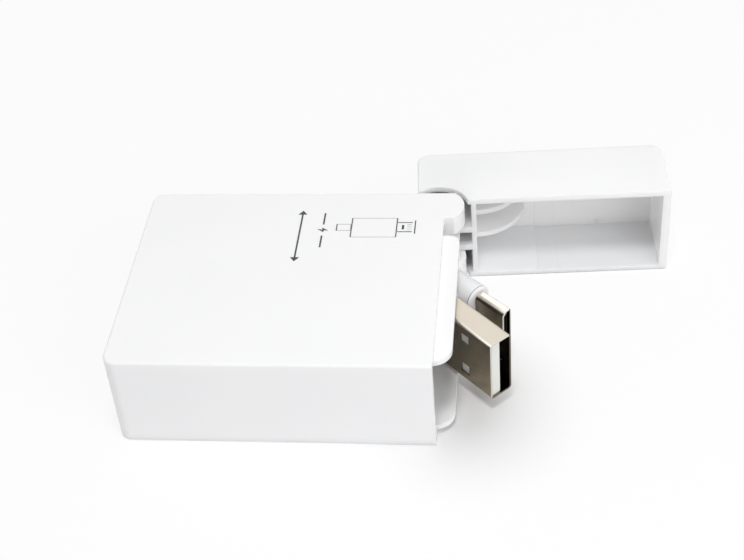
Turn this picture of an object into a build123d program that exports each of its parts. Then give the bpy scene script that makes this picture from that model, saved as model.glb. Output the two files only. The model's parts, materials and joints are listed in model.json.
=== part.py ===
"""A flip-lid box that winds two short charging leads onto one sprung reel. Millimetres, +Z up.

The origin is the middle of the box's bottom face. The mouth faces +X. The lid is drawn swung open about its
upright pin, and both plugs stand in the mouth at a slant, as they lie when the leads are wound in.
"""

import os
from math import acos, cos, degrees, radians, sin, tan

from build123d import *

os.makedirs("parts", exist_ok=True)

# Case
wall = 1.3
bay_length = 14.7  # room for the plugs, from the reel's rim to the mouth plane
end_radius = 2.2  # upright edges of the closed end, and of the lid's end
edge_radius = 0.4  # soft outer edges
seam_gap = 0.1  # between neighbouring mouldings

# Lid
lid_depth = 14.3
lid_wall = 1.1  # top and bottom
lid_side_wall = 1.4
lid_end_wall = 1.3
lid_step = 0.2  # shallow recess in the lid's bottom wall
lid_step_run = 21.8  # along the wall from its free side
open_angle = 94.0

# Mouth tongues, which the lid slides over
tongue_reach = 2.9
tongue_thickness = 1.0
tongue_root = 4.0
tongue_front_radius = 3.4
tongue_back_radius = 1.9
tongue_side_gap = 1.1  # in from the lid's free side wall
fit_gap = 0.15  # tongue to lid

# Hinge
pivot_setback = 1.2  # behind the mouth plane
pivot_inset = 3.6  # in from the case's back face
pin_radius = 1.0
pin_clearance = 0.05
pin_seat = 2.4  # depth of the pin in each ear
ear_radius = 4.6
lower_ear_height = 6.2
upper_ear_height = 3.7
stop_margin = 2.0  # degrees past the open pose at which the lid would meet the case
knuckle_gap = 0.15  # above and below the knuckle
knuckle_clearance = 0.25  # around the knuckle
barrel_radius = 2.3
plate_thickness = 1.15
plate_pitch = 4.0
hinge_wall_thickness = 0.9
hinge_wall_margin = 0.4  # outside the lid's notch
gusset_radius = 9.2
gusset_thickness = 0.95
gusset_pitch = 5.15

# Reel
flange_radius = 18.2
flange_thickness = 1.0
reel_wall_gap = 0.6  # from the rim to the closed end
reel_side_gap = 2.8  # from the rim to the side walls, where the leads pass
hub_radius = 6.0
hub_wall = 1.1
spigot_step = 0.5
bearing_wall = 1.2
bearing_stand = 0.8  # above the upper flange
axle_radius = 2.0
axle_clearance = 0.06
axle_seat = 1.6  # depth of the axle in the shell's boss
boss_wall = 1.2
end_float = 0.2
cup_radius = 15.5
cup_wall = 1.0
thrust_rib = 0.4

# Mainspring
spring_thickness = 0.2
spring_start = 3.0
spring_pitch = 2.5
spring_side_gap = 0.3
slot_width = 0.6  # in the axle and the cup, for the spring's two ends

# Leads
cable_width = 4.8
cable_thickness = 0.8
cable_slack = 0.05  # between turns
cable_side_gap = 0.3
roll_margin = 0.45  # inside the flanges' rim
chamber_gap = 0.6
chamber_wall = 1.0
chamber_start = -70.0
chamber_end = 36.0
guide_radius = 1.0
guide_gap = 0.6
bend_share = 0.45  # of a lead's last run, taken by its bend

# Lock track and pawl
track_radius = 11.4
track_wall = 1.5
track_height = 1.3
track_depth = 1.1
track_clearance = 0.25
notch_count = 6
notch_length = 3.0
notch_width = 2.0
notch_slant = 30.0
pawl_arm = 9.3
pawl_swing = 6.0
pawl_angle = -60.0  # of its screw, round the reel
pawl_hub_radius = 1.9
pawl_width = 2.2
pawl_thickness = 1.2
pawl_gap = 0.3  # over the track
pawl_float = 0.1
follower_radius = 0.75
follower_clearance = 0.2
screw_radius = 0.9
screw_core_radius = 0.6
screw_clearance = 0.06
screw_head_radius = 1.6
screw_head_height = 0.9
screw_grip = 1.4  # length of its thread in the shell
screw_boss_radius = 1.8

# Lower cover
cover_land = 0.1  # upright edge below the seam, above the soft bottom edge
rim_gap = 0.1
rim_thickness = 0.9
rim_height = 1.6

# USB-A plug
plug_a_angle = -46.2
lead_a_start = 1.609  # from the guide posts to the corner of the lead
lead_a_run = 9.165  # from that corner to the back of the plug
shell_a_width = 12.0
shell_a_thickness = 4.5
shell_a_wall = 0.32
shell_a_radius = 0.6
shell_a_exposed = 14.0
shell_a_hidden = 6.0
window_start = 5.3
window_length = 2.05
window_height = 2.1
window_pitch = 6.6
insulator_a_thickness = 1.9
insulator_a_recess = 0.3
insulator_a_gap = 0.05
insulator_a_base = 5.0
contact_a_pitch = (-3.5, -1.0, 1.0, 3.5)
contact_a_width = 1.1
contact_a_length = 8.0
contact_a_start = 1.3
contact_thickness = 0.15
housing_a_rim = 0.5  # beyond the shell's narrow sides
housing_a_cheek = 1.15  # beyond its broad sides
housing_a_gap = 0.15  # to the mouth tongues
housing_a_radius = 2.0
housing_a_length = 13.5
boot_a_length = 4.0
boot_wall = 0.8  # round the lead
housing_bevel = 0.35  # front edges of both housings

# Micro-USB plug
plug_micro_turn = 2.5  # from the USB-A plug's direction
plug_micro_back = 6.3
plug_gap = 1.8  # between the two housings
shell_micro_width = 6.85
shell_micro_thickness = 1.85
shell_micro_wall = 0.25
shell_micro_chamfer = 0.75
shell_micro_radius = 0.25
shell_micro_exposed = 6.5
shell_micro_hidden = 5.0
insulator_micro_thickness = 0.6
insulator_micro_recess = 0.5
insulator_micro_gap = 0.05
insulator_micro_base = 4.5
contact_micro_count = 5
contact_micro_pitch = 0.65
contact_micro_width = 0.35
contact_micro_length = 4.5
latch_pitch = 4.0
latch_width = 0.7
latch_length = 2.6
latch_start = 0.9
latch_height = 0.35
latch_clearance = 0.1
housing_micro_rim = 0.975  # beyond the shell's narrow sides
housing_micro_cheek = 1.575  # beyond its broad sides
housing_micro_length = 12.5
boot_micro_length = 3.5

# Plug housings, moulded round the shells
housing_a_width = shell_a_width + 2 * housing_a_rim
housing_a_thickness = shell_a_thickness + 2 * housing_a_cheek
housing_micro_width = shell_micro_width + 2 * housing_micro_rim
housing_micro_thickness = shell_micro_thickness + 2 * housing_micro_cheek

# The case is as long and wide as the reel and the plug bay need, and as high as the USB-A plug needs
tongue_low = lid_wall + fit_gap
case_length = wall + reel_wall_gap + 2 * flange_radius + bay_length
case_width = 2 * (flange_radius + reel_side_gap + wall)
case_height = housing_a_width + 2 * (housing_a_gap + tongue_thickness + tongue_low)

# Case planes and levels
mouth_x = case_length / 2
closed_x = -case_length / 2
back_y = case_width / 2
front_y = -case_width / 2
mid_z = case_height / 2
ceiling_z = case_height - wall
seam_z = edge_radius + cover_land
room_radius = max(end_radius - wall, edge_radius)
rim_width = case_width - 2 * wall - 2 * rim_gap

# Hinge planes and levels
pivot_x = mouth_x - pivot_setback
pivot_y = back_y - pivot_inset
hinge_axis = Axis((pivot_x, pivot_y, 0), (0, 0, 1))
stop_half_angle = radians((open_angle + stop_margin) / 2)
notch_radius = pivot_inset / cos(stop_half_angle)
pocket_depth = max(pivot_inset + knuckle_clearance, pivot_inset * tan(stop_half_angle))
pocket_x = pivot_x - pocket_depth
upper_ear_low = case_height - upper_ear_height
knuckle_low = lower_ear_height + knuckle_gap
knuckle_high = upper_ear_low - knuckle_gap
knuckle_height = knuckle_high - knuckle_low
hinge_wall_y = pivot_y - notch_radius - hinge_wall_margin
hinge_wall_front = hinge_wall_y - hinge_wall_thickness
tongue_front = front_y + lid_side_wall + tongue_side_gap
tongue_back = hinge_wall_front - fit_gap
tongue_width = tongue_back - tongue_front
tongue_y = (tongue_back + tongue_front) / 2

# Reel centre and levels
reel_x = closed_x + wall + reel_wall_gap + flange_radius
reel_y = 0.0
reel_axis = Axis((reel_x, reel_y, 0), (0, 0, 1))
reel_section = Plane(origin=(reel_x, reel_y, 0), x_dir=(1, 0, 0), z_dir=(0, -1, 0))
chamber_height = cable_width + 2 * cable_side_gap
chamber_low = mid_z - chamber_height / 2
chamber_high = mid_z + chamber_height / 2
cup_top = chamber_low - flange_thickness
cup_low = wall + thrust_rib + end_float
flange_top = chamber_high + flange_thickness
bearing_radius = axle_radius + axle_clearance
bearing_top = flange_top + bearing_stand
spigot_radius = hub_radius - spigot_step
boss_low = bearing_top + end_float

# Wound leads: the two lie together, so each full turn adds two thicknesses
cable_pitch = cable_thickness + cable_slack
roll_radius = flange_radius - roll_margin
roll_step = 2 * cable_pitch
roll_inner_y = reel_y + roll_radius - roll_step
lead_micro_y = reel_y + roll_radius - cable_pitch / 2
lead_a_y = lead_micro_y - cable_pitch
cable_low = mid_z - cable_width / 2

# Guide posts, one on each side of the pair of leads and just outside the reel
guide_inner_y = lead_a_y - cable_thickness / 2 - guide_gap - guide_radius
guide_outer_y = lead_micro_y + cable_thickness / 2 + guide_gap + guide_radius
guide_reach = flange_radius + chamber_gap + guide_radius
guide_x = reel_x + (guide_reach**2 - (guide_inner_y - reel_y) ** 2) ** 0.5

# Lock track and pawl levels
track_top = flange_top + track_height
track_floor = track_top - track_depth
pawl_sweep = pawl_arm * sin(radians(pawl_swing))
groove_half = follower_radius + pawl_sweep + track_clearance
groove_inner = track_radius - groove_half
groove_outer = track_radius + groove_half
pawl_radius = groove_outer + track_wall + screw_head_radius + track_clearance
pawl_low = track_top + pawl_gap
pawl_high = pawl_low + pawl_thickness


def round_reel(radius, angle):
    """A point on a circle round the reel's axis."""
    return (reel_x + radius * cos(radians(angle)), reel_y + radius * sin(radians(angle)))


pawl_lean = degrees(acos((pawl_radius**2 + track_radius**2 - pawl_arm**2) / (2 * pawl_radius * track_radius)))
pawl_point = round_reel(pawl_radius, pawl_angle)
follower_point = round_reel(track_radius, pawl_angle - pawl_lean)


def heading(angle):
    """A flat unit vector at an angle from +X."""
    return Vector(cos(radians(angle)), sin(radians(angle)), 0)


def plug_plane(front, angle):
    """The plane of a plug's front face: x across its thickness, y up, z out of the plug."""
    return Plane(origin=front, x_dir=heading(angle + 90), z_dir=heading(angle))


def side_plane(plane):
    """The plug's upright middle plane, seen from its side: x out of the plug."""
    return Plane(origin=plane.origin, x_dir=plane.z_dir, z_dir=plane.x_dir)


boot_a_start = shell_a_exposed + housing_a_length
boot_a_end = boot_a_start + boot_a_length
boot_micro_start = shell_micro_exposed + housing_micro_length
boot_micro_end = boot_micro_start + boot_micro_length
plug_a_front = Vector(guide_x + lead_a_start, lead_a_y, mid_z)
plug_a_front += heading(plug_a_angle) * (lead_a_run + boot_a_end)
plug_micro_angle = plug_a_angle + plug_micro_turn
plug_micro_offset = housing_a_thickness / 2 + plug_gap + housing_micro_thickness / 2
plug_micro_front = plug_a_front - heading(plug_micro_angle) * plug_micro_back
plug_micro_front += heading(plug_micro_angle + 90) * plug_micro_offset
plug_a = plug_plane(plug_a_front, plug_a_angle)
plug_micro = plug_plane(plug_micro_front, plug_micro_angle)
print("plug fronts", plug_a_front, plug_micro_front)

# Plans that several pieces share
with BuildSketch() as case_plan:
    Rectangle(case_length, case_width)
    fillet(case_plan.vertices().group_by(Axis.X)[0], end_radius)

with BuildSketch() as room_plan:
    with Locations((closed_x + wall, 0)):
        Rectangle(case_length - wall, case_width - 2 * wall, align=(Align.MIN, Align.CENTER))
    fillet(room_plan.vertices().group_by(Axis.X)[0], room_radius)

with BuildSketch() as seat_plan:
    with Locations((closed_x + wall + rim_gap, 0)):
        Rectangle(case_length - wall - rim_gap, rim_width, align=(Align.MIN, Align.CENTER))
    fillet(seat_plan.vertices().group_by(Axis.X)[0], room_radius)

with BuildSketch() as rim_plan:
    with Locations((closed_x + wall + rim_gap, 0)):
        Rectangle(pocket_x - closed_x - wall - rim_gap, rim_width, align=(Align.MIN, Align.CENTER))
    fillet(rim_plan.vertices().group_by(Axis.X)[0], room_radius)
    with Locations((closed_x + wall + rim_gap + rim_thickness, 0)):
        Rectangle(
            case_length,
            rim_width - 2 * rim_thickness,
            align=(Align.MIN, Align.CENTER),
            mode=Mode.SUBTRACT,
        )

with BuildSketch() as ear_plan:
    with Locations((pivot_x, pivot_y)):
        Circle(ear_radius)
    with Locations((pocket_x, pivot_y)):
        Rectangle(
            pocket_depth + ear_radius,
            2 * pivot_inset,
            align=(Align.MIN, Align.CENTER),
            mode=Mode.INTERSECT,
        )
        Rectangle(pocket_depth, 2 * pivot_inset, align=(Align.MIN, Align.CENTER))

with BuildSketch() as tongue_plan:
    with Locations((mouth_x - tongue_root, tongue_y)):
        Rectangle(tongue_root + tongue_reach, tongue_width, align=(Align.MIN, Align.CENTER))
    fillet(tongue_plan.vertices().group_by(Axis.X)[-1].sort_by(Axis.Y)[0], tongue_front_radius)
    fillet(tongue_plan.vertices().group_by(Axis.X)[-1].sort_by(Axis.Y)[-1], tongue_back_radius)

with BuildSketch() as tongue_root_plan:
    with Locations((mouth_x - tongue_root, tongue_y)):
        Rectangle(tongue_root, tongue_width, align=(Align.MIN, Align.CENTER))

# Upper shell: top face, three walls, upper tongue and upper hinge ear
with BuildPart() as upper_shell:
    with BuildSketch(Plane.XY.offset(seam_z)):
        add(case_plan.sketch)
    extrude(amount=case_height - seam_z)
    top_edges = upper_shell.edges().group_by(Axis.Z)[-1].sort_by(Axis.X)
    fillet(top_edges[:-1], edge_radius)
    with BuildSketch(Plane.XY.offset(seam_z)):
        add(room_plan.sketch)
    extrude(amount=ceiling_z - seam_z, mode=Mode.SUBTRACT)
    with BuildSketch(Plane.XY.offset(case_height - tongue_low - tongue_thickness)):
        add(tongue_plan.sketch)
    extrude(amount=tongue_thickness)
    with BuildSketch(Plane.XY.offset(case_height - tongue_low - tongue_thickness)):
        add(tongue_root_plan.sketch)
    extrude(amount=tongue_low + tongue_thickness - wall)
    with BuildSketch(Plane.XY.offset(seam_z)):
        with Locations((pocket_x - seam_gap, pivot_y - pivot_inset)):
            Rectangle(case_length, case_width, align=Align.MIN)
    extrude(amount=upper_ear_low - seam_z, mode=Mode.SUBTRACT)
    with BuildSketch(Plane.XY.offset(upper_ear_low)):
        add(ear_plan.sketch)
    extrude(amount=upper_ear_height)
    with BuildSketch(Plane.XY.offset(upper_ear_low)):
        with Locations((pivot_x, pivot_y)):
            Circle(pin_radius)
    extrude(amount=pin_seat, mode=Mode.SUBTRACT)
    with BuildSketch(Plane.XY.offset(boss_low)):
        with Locations((reel_x, reel_y)):
            Circle(axle_radius + boss_wall)
    extrude(amount=ceiling_z - boss_low)
    with BuildSketch(Plane.XY.offset(boss_low)):
        with Locations((reel_x, reel_y)):
            Circle(axle_radius)
    extrude(amount=axle_seat, mode=Mode.SUBTRACT)
    with BuildSketch(Plane.XY.offset(pawl_high + pawl_float)):
        with Locations(pawl_point):
            Circle(screw_boss_radius)
    extrude(amount=ceiling_z - pawl_high - pawl_float)
    with BuildSketch(Plane.XY.offset(pawl_high + pawl_float)):
        with Locations(pawl_point):
            Circle(screw_core_radius)
    extrude(amount=screw_grip, mode=Mode.SUBTRACT)
upper_shell.part.label = "upper_shell"
export_step(upper_shell.part, "parts/upper_shell.step")

# Lower cover: bottom plate, stepped to seat inside the shell's walls, locating rim, lower tongue and ear,
# chamber wall, guide posts and axle boss
with BuildPart() as lower_cover:
    with BuildSketch():
        add(case_plan.sketch)
    extrude(amount=seam_z)
    bottom_edges = lower_cover.edges().group_by(Axis.Z)[0].sort_by(Axis.X)
    fillet(bottom_edges[:-1], edge_radius)
    with BuildSketch(Plane.XY.offset(seam_z)):
        add(seat_plan.sketch)
    extrude(amount=wall - seam_z)
    with BuildSketch(Plane.XY.offset(wall)):
        add(rim_plan.sketch)
    extrude(amount=rim_height)
    with BuildSketch(Plane.XY.offset(tongue_low)):
        add(tongue_plan.sketch)
    extrude(amount=tongue_thickness)
    with BuildSketch(Plane.XY.offset(tongue_low)):
        add(tongue_root_plan.sketch)
    extrude(amount=-tongue_low)
    with BuildSketch():
        add(ear_plan.sketch)
    extrude(amount=lower_ear_height)
    with BuildSketch(Plane.XY.offset(lower_ear_height)):
        with Locations((pivot_x, pivot_y)):
            Circle(pin_radius)
    extrude(amount=-pin_seat, mode=Mode.SUBTRACT)
    with BuildSketch(Plane.XY.offset(wall)):
        with BuildLine():
            CenterArc(
                (reel_x, reel_y),
                flange_radius + chamber_gap + chamber_wall / 2,
                chamber_start,
                chamber_end - chamber_start,
            )
        trace(line_width=chamber_wall)
    extrude(amount=flange_top - wall)
    with BuildSketch(Plane.XY.offset(wall)):
        with Locations((reel_x, reel_y)):
            Circle(cup_radius)
            Circle(cup_radius - cup_wall, mode=Mode.SUBTRACT)
    extrude(amount=thrust_rib)
    with BuildSketch(Plane.XY.offset(wall)):
        with Locations((guide_x, guide_inner_y), (guide_x, guide_outer_y)):
            Circle(guide_radius)
    extrude(amount=flange_top - wall)
    with BuildSketch(Plane.XY.offset(wall)):
        with Locations((reel_x, reel_y)):
            Circle(axle_radius + boss_wall)
            Circle(axle_radius, mode=Mode.SUBTRACT)
    extrude(amount=thrust_rib)
lower_cover.part.label = "lower_cover"
export_step(lower_cover.part, "parts/lower_cover.step")

# Lid, made shut and then swung open about the pin
rim_x = mouth_x + seam_gap
lid_end = mouth_x + lid_depth
lid_floor = lid_end - lid_end_wall
plate_levels = (knuckle_low, knuckle_low + plate_pitch)
gusset_levels = (knuckle_low, knuckle_low + gusset_pitch)
with BuildPart() as shut_lid:
    with BuildSketch() as lid_plan:
        with Locations((rim_x, 0)):
            Rectangle(lid_end - rim_x, case_width, align=(Align.MIN, Align.CENTER))
        fillet(lid_plan.vertices().group_by(Axis.X)[-1], end_radius)
    extrude(amount=case_height)
    for level in (0, -1):
        outline = shut_lid.edges().group_by(Axis.Z)[level].sort_by(Axis.X)
        fillet(outline[1:], edge_radius)
    with BuildSketch(Plane.XY.offset(lid_wall)):
        with Locations((rim_x, front_y + lid_side_wall)):
            Rectangle(lid_floor - rim_x, hinge_wall_front - front_y - lid_side_wall, align=Align.MIN)
        with Locations((rim_x, hinge_wall_y)):
            Rectangle(lid_floor - rim_x, back_y - wall - hinge_wall_y, align=Align.MIN)
    extrude(amount=case_height - 2 * lid_wall, mode=Mode.SUBTRACT)
    with BuildSketch(Plane.XY.offset(lid_wall)):
        with Locations((rim_x, front_y + lid_side_wall)):
            Rectangle(lid_floor - rim_x, lid_step_run, align=Align.MIN)
    extrude(amount=-lid_step, mode=Mode.SUBTRACT)
    for low, height in ((0, knuckle_low), (knuckle_high, case_height - knuckle_high)):
        with BuildSketch(Plane.XY.offset(low)):
            with Locations((pivot_x, pivot_y)):
                Circle(notch_radius)
        extrude(amount=height, mode=Mode.SUBTRACT)
    with BuildSketch(Plane.XY.offset(knuckle_low)):
        with Locations((pivot_x, pivot_y)):
            Circle(pivot_inset)
            Circle(pivot_inset - wall, mode=Mode.SUBTRACT)
            Rectangle(
                2 * pivot_inset, 2 * pivot_inset, align=(Align.MAX, Align.MIN), mode=Mode.INTERSECT
            )
        with Locations((pivot_x, back_y)):
            Rectangle(rim_x + wall - pivot_x, wall, align=(Align.MIN, Align.MAX))
        with Locations((pivot_x, pivot_y)):
            Circle(barrel_radius)
    extrude(amount=knuckle_height)
    for low in plate_levels:
        with BuildSketch(Plane.XY.offset(low)):
            with Locations((pivot_x, pivot_y)):
                Circle(pivot_inset)
            with Locations((rim_x, hinge_wall_y)):
                Rectangle(lid_floor - rim_x, back_y - wall - hinge_wall_y, align=Align.MIN)
        extrude(amount=plate_thickness)
    for low in gusset_levels:
        with BuildSketch(Plane.XY.offset(low)):
            with Locations((lid_floor, hinge_wall_front)):
                Circle(gusset_radius)
                Rectangle(gusset_radius, gusset_radius, align=Align.MAX, mode=Mode.INTERSECT)
        extrude(amount=gusset_thickness)
    with BuildSketch():
        with Locations((pivot_x, pivot_y)):
            Circle(pin_radius + pin_clearance)
    extrude(amount=case_height, mode=Mode.SUBTRACT)
flip_lid = shut_lid.part.rotate(hinge_axis, open_angle)
flip_lid.label = "flip_lid"
export_step(flip_lid, "parts/flip_lid.step")

# Hinge pin, seated in both ears
with BuildPart() as hinge_pin:
    with BuildSketch(Plane.XY.offset(lower_ear_height - pin_seat)):
        with Locations((pivot_x, pivot_y)):
            Circle(pin_radius)
    extrude(amount=upper_ear_low - lower_ear_height + 2 * pin_seat)
hinge_pin.part.label = "hinge_pin"
export_step(hinge_pin.part, "parts/hinge_pin.step")

# Reel axle, with a slot that holds the spring's inner end
with BuildPart() as reel_axle:
    with BuildSketch(Plane.XY.offset(wall)):
        with Locations((reel_x, reel_y)):
            Circle(axle_radius)
    extrude(amount=boss_low + axle_seat - wall)
    with BuildSketch(Plane.XY.offset(wall + thrust_rib)):
        with Locations((reel_x, reel_y)):
            Rectangle(2 * axle_radius, slot_width, align=(Align.MIN, Align.CENTER))
    extrude(amount=cup_top - wall - thrust_rib, mode=Mode.SUBTRACT)
reel_axle.part.label = "reel_axle"
export_step(reel_axle.part, "parts/reel_axle.step")

# Reel drum: spring cup below, lower flange, hub with its bearing, open on top
spring_half_turns = int((cup_radius - cup_wall - spring_start) / (spring_pitch / 2))
spring_side = (-1) ** (spring_half_turns - 1)
hub_floor = chamber_low + hub_wall
with BuildPart() as reel_drum:
    with BuildSketch(reel_section):
        with BuildLine():
            Polyline(
                (bearing_radius, cup_top),
                (cup_radius - cup_wall, cup_top),
                (cup_radius - cup_wall, cup_low),
                (cup_radius, cup_low),
                (cup_radius, cup_top),
                (flange_radius, cup_top),
                (flange_radius, chamber_low),
                (hub_radius, chamber_low),
                (hub_radius, chamber_high),
                (spigot_radius, chamber_high),
                (spigot_radius, flange_top),
                (spigot_radius - hub_wall, flange_top),
                (spigot_radius - hub_wall, hub_floor),
                (bearing_radius + bearing_wall, hub_floor),
                (bearing_radius + bearing_wall, bearing_top),
                (bearing_radius, bearing_top),
                close=True,
            )
        make_face()
    revolve(axis=reel_axis)
    with BuildSketch(Plane.XY.offset(cup_low)):
        with Locations((reel_x + spring_side * (cup_radius - cup_wall / 2), reel_y)):
            Rectangle(2 * cup_wall, slot_width)
    extrude(amount=cup_top - cup_low, mode=Mode.SUBTRACT)
reel_drum.part.label = "reel_drum"
export_step(reel_drum.part, "parts/reel_drum.step")

# Upper flange, with the lock track and its slanted notches
with BuildPart() as reel_flange:
    with BuildSketch(reel_section):
        with BuildLine():
            Polyline(
                (spigot_radius, chamber_high),
                (flange_radius, chamber_high),
                (flange_radius, flange_top),
                (groove_outer + track_wall, flange_top),
                (groove_outer + track_wall, track_top),
                (groove_outer, track_top),
                (groove_outer, track_floor),
                (groove_inner, track_floor),
                (groove_inner, track_top),
                (groove_inner - track_wall, track_top),
                (groove_inner - track_wall, flange_top),
                (spigot_radius, flange_top),
                close=True,
            )
        make_face()
    revolve(axis=reel_axis)
    with BuildSketch(Plane.XY.offset(track_floor)):
        with Locations((reel_x, reel_y)):
            with PolarLocations(groove_outer - notch_width / 4, notch_count):
                SlotOverall(notch_length, notch_width, rotation=90 + notch_slant)
    extrude(amount=track_depth, mode=Mode.SUBTRACT)
reel_flange.part.label = "reel_flange"
export_step(reel_flange.part, "parts/reel_flange.step")

# Both leads wound together; the step at the top is where they leave
with BuildPart() as cable_roll:
    with BuildSketch(Plane.XY.offset(cable_low)):
        with BuildLine():
            quarter = roll_step / 4
            CenterArc((reel_x, reel_y + quarter), roll_radius - quarter, 90, 180)
            CenterArc((reel_x, reel_y - quarter), roll_radius - 3 * quarter, 270, 180)
            Line((reel_x, roll_inner_y), (reel_x, reel_y + roll_radius))
        make_face()
        with Locations((reel_x, reel_y)):
            Circle(hub_radius, mode=Mode.SUBTRACT)
    extrude(amount=cable_width)
cable_roll.part.label = "cable_roll"
export_step(cable_roll.part, "parts/cable_roll.step")

# Mainspring: a flat spiral of half turns, hooked into the axle and the cup
with BuildPart() as mainspring:
    with BuildSketch(Plane.XY.offset(cup_low + spring_side_gap)):
        with BuildLine():
            crossing = [(-1) ** k * (spring_start + k * spring_pitch / 2) for k in range(spring_half_turns)]
            Line((reel_x + slot_width, reel_y), (reel_x + spring_start, reel_y))
            for k in range(spring_half_turns - 1):
                middle = (crossing[k] + crossing[k + 1]) / 2
                CenterArc(
                    (reel_x + middle, reel_y), abs(crossing[k] - middle), 180 * (k % 2), 180
                )
            Line(
                (reel_x + crossing[-1], reel_y), (reel_x + spring_side * (cup_radius - cup_wall / 2), reel_y)
            )
        trace(line_width=spring_thickness)
    extrude(amount=cup_top - cup_low - 2 * spring_side_gap)
mainspring.part.label = "mainspring"
export_step(mainspring.part, "parts/mainspring.step")

# Pawl: a lever whose follower runs in the track, turning on a shouldered screw
with BuildPart() as lock_pawl:
    with BuildSketch(Plane.XY.offset(pawl_low)):
        with BuildLine():
            Line(pawl_point, follower_point)
        trace(line_width=pawl_width)
        with Locations(pawl_point):
            Circle(pawl_hub_radius)
        with Locations(follower_point):
            Circle(pawl_width / 2)
        with Locations(pawl_point):
            Circle(screw_radius + screw_clearance, mode=Mode.SUBTRACT)
    extrude(amount=pawl_thickness)
    with BuildSketch(Plane.XY.offset(pawl_low)):
        with Locations(follower_point):
            Circle(follower_radius)
    extrude(amount=track_floor + follower_clearance - pawl_low)
lock_pawl.part.label = "lock_pawl"
export_step(lock_pawl.part, "parts/lock_pawl.step")

with BuildPart() as pawl_screw:
    with BuildSketch(Plane.XY.offset(pawl_low - pawl_float)):
        with Locations(pawl_point):
            Circle(screw_head_radius)
    extrude(amount=-screw_head_height)
    with BuildSketch(Plane.XY.offset(pawl_low - pawl_float)):
        with Locations(pawl_point):
            Circle(screw_radius)
    extrude(amount=pawl_thickness + 2 * pawl_float)
    with BuildSketch(Plane.XY.offset(pawl_high + pawl_float)):
        with Locations(pawl_point):
            Circle(screw_core_radius)
    extrude(amount=screw_grip)
pawl_screw.part.label = "pawl_screw"
export_step(pawl_screw.part, "parts/pawl_screw.step")


def front_face(piece, plane):
    """The face that lies furthest out of the plug."""
    return piece.faces().sort_by(Axis(plane.origin, plane.z_dir))[-1]


# USB-A plug
with BuildPart() as usb_a_shell:
    with BuildSketch(plug_a):
        RectangleRounded(shell_a_thickness, shell_a_width, shell_a_radius)
        RectangleRounded(
            shell_a_thickness - 2 * shell_a_wall,
            shell_a_width - 2 * shell_a_wall,
            shell_a_radius - shell_a_wall,
            mode=Mode.SUBTRACT,
        )
    extrude(amount=-shell_a_exposed - shell_a_hidden)
    with BuildSketch(side_plane(plug_a)):
        with Locations((-window_start - window_length / 2, 0)):
            with GridLocations(0, window_pitch, 1, 2):
                Rectangle(window_length, window_height)
    extrude(amount=shell_a_thickness, both=True, mode=Mode.SUBTRACT)
usb_a_shell.part.label = "usb_a_shell"
export_step(usb_a_shell.part, "parts/usb_a_shell.step")

room_a_thickness = shell_a_thickness - 2 * (shell_a_wall + insulator_a_gap)
room_a_width = shell_a_width - 2 * (shell_a_wall + insulator_a_gap)
insulator_a_face = insulator_a_thickness - room_a_thickness / 2
with BuildPart() as usb_a_insulator:
    with BuildSketch(plug_a.offset(-insulator_a_recess)) as carrier:
        with Locations((-room_a_thickness / 2, 0)):
            Rectangle(insulator_a_thickness, room_a_width, align=(Align.MIN, Align.CENTER))
        fillet(carrier.vertices(), shell_a_radius - shell_a_wall)
    extrude(amount=insulator_a_recess - shell_a_exposed - shell_a_hidden)
    with BuildSketch(plug_a.offset(-shell_a_exposed - shell_a_hidden)):
        RectangleRounded(room_a_thickness, room_a_width, shell_a_radius - shell_a_wall)
    extrude(amount=insulator_a_base)
usb_a_insulator.part.label = "usb_a_insulator"
export_step(usb_a_insulator.part, "parts/usb_a_insulator.step")

with BuildPart() as usb_a_contacts:
    with BuildSketch(plug_a.offset(-contact_a_start)):
        with Locations([(insulator_a_face, y) for y in contact_a_pitch]):
            Rectangle(contact_thickness, contact_a_width, align=(Align.MIN, Align.CENTER))
    extrude(amount=-contact_a_length)
usb_a_contacts.part.label = "usb_a_contacts"
export_step(usb_a_contacts.part, "parts/usb_a_contacts.step")

with BuildPart() as usb_a_housing:
    with BuildSketch(plug_a.offset(-shell_a_exposed)):
        RectangleRounded(housing_a_thickness, housing_a_width, housing_a_radius)
    extrude(amount=-housing_a_length)
    chamfer(front_face(usb_a_housing, plug_a).edges(), housing_bevel)
    with BuildSketch(plug_a.offset(-boot_a_start)):
        RectangleRounded(housing_a_thickness, housing_a_width, housing_a_radius)
    with BuildSketch(plug_a.offset(-boot_a_end)):
        RectangleRounded(cable_thickness + 2 * boot_wall, cable_width + 2 * boot_wall, boot_wall)
    loft()
    with BuildSketch(plug_a.offset(-shell_a_exposed)):
        RectangleRounded(shell_a_thickness, shell_a_width, shell_a_radius)
    extrude(amount=-shell_a_hidden, mode=Mode.SUBTRACT)
usb_a_housing.part.label = "usb_a_housing"
export_step(usb_a_housing.part, "parts/usb_a_housing.step")


# Micro-USB plug: its folded shell is chamfered along one broad side
def micro_outline(inset):
    """Corners of the shell's section, inset from its outside."""
    half = shell_micro_thickness / 2 - inset
    tall = shell_micro_width / 2 - inset
    cut = shell_micro_chamfer
    return [
        (half, -tall),
        (half, tall),
        (cut - half, tall),
        (-half, tall - cut),
        (-half, cut - tall),
        (cut - half, -tall),
    ]


with BuildPart() as micro_shell:
    with BuildSketch(plug_micro) as micro_section:
        Polygon(*micro_outline(0), align=None)
        fillet(micro_section.vertices(), shell_micro_radius)
        Polygon(*micro_outline(shell_micro_wall), align=None, mode=Mode.SUBTRACT)
    extrude(amount=-shell_micro_exposed - shell_micro_hidden)
    with BuildSketch(side_plane(plug_micro)):
        with Locations((-latch_start - latch_length / 2, 0)):
            with GridLocations(0, latch_pitch, 1, 2):
                Rectangle(latch_length + 2 * latch_clearance, latch_width + 2 * latch_clearance)
    extrude(amount=shell_micro_thickness, mode=Mode.SUBTRACT)
micro_shell.part.label = "micro_shell"
export_step(micro_shell.part, "parts/micro_shell.step")

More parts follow.
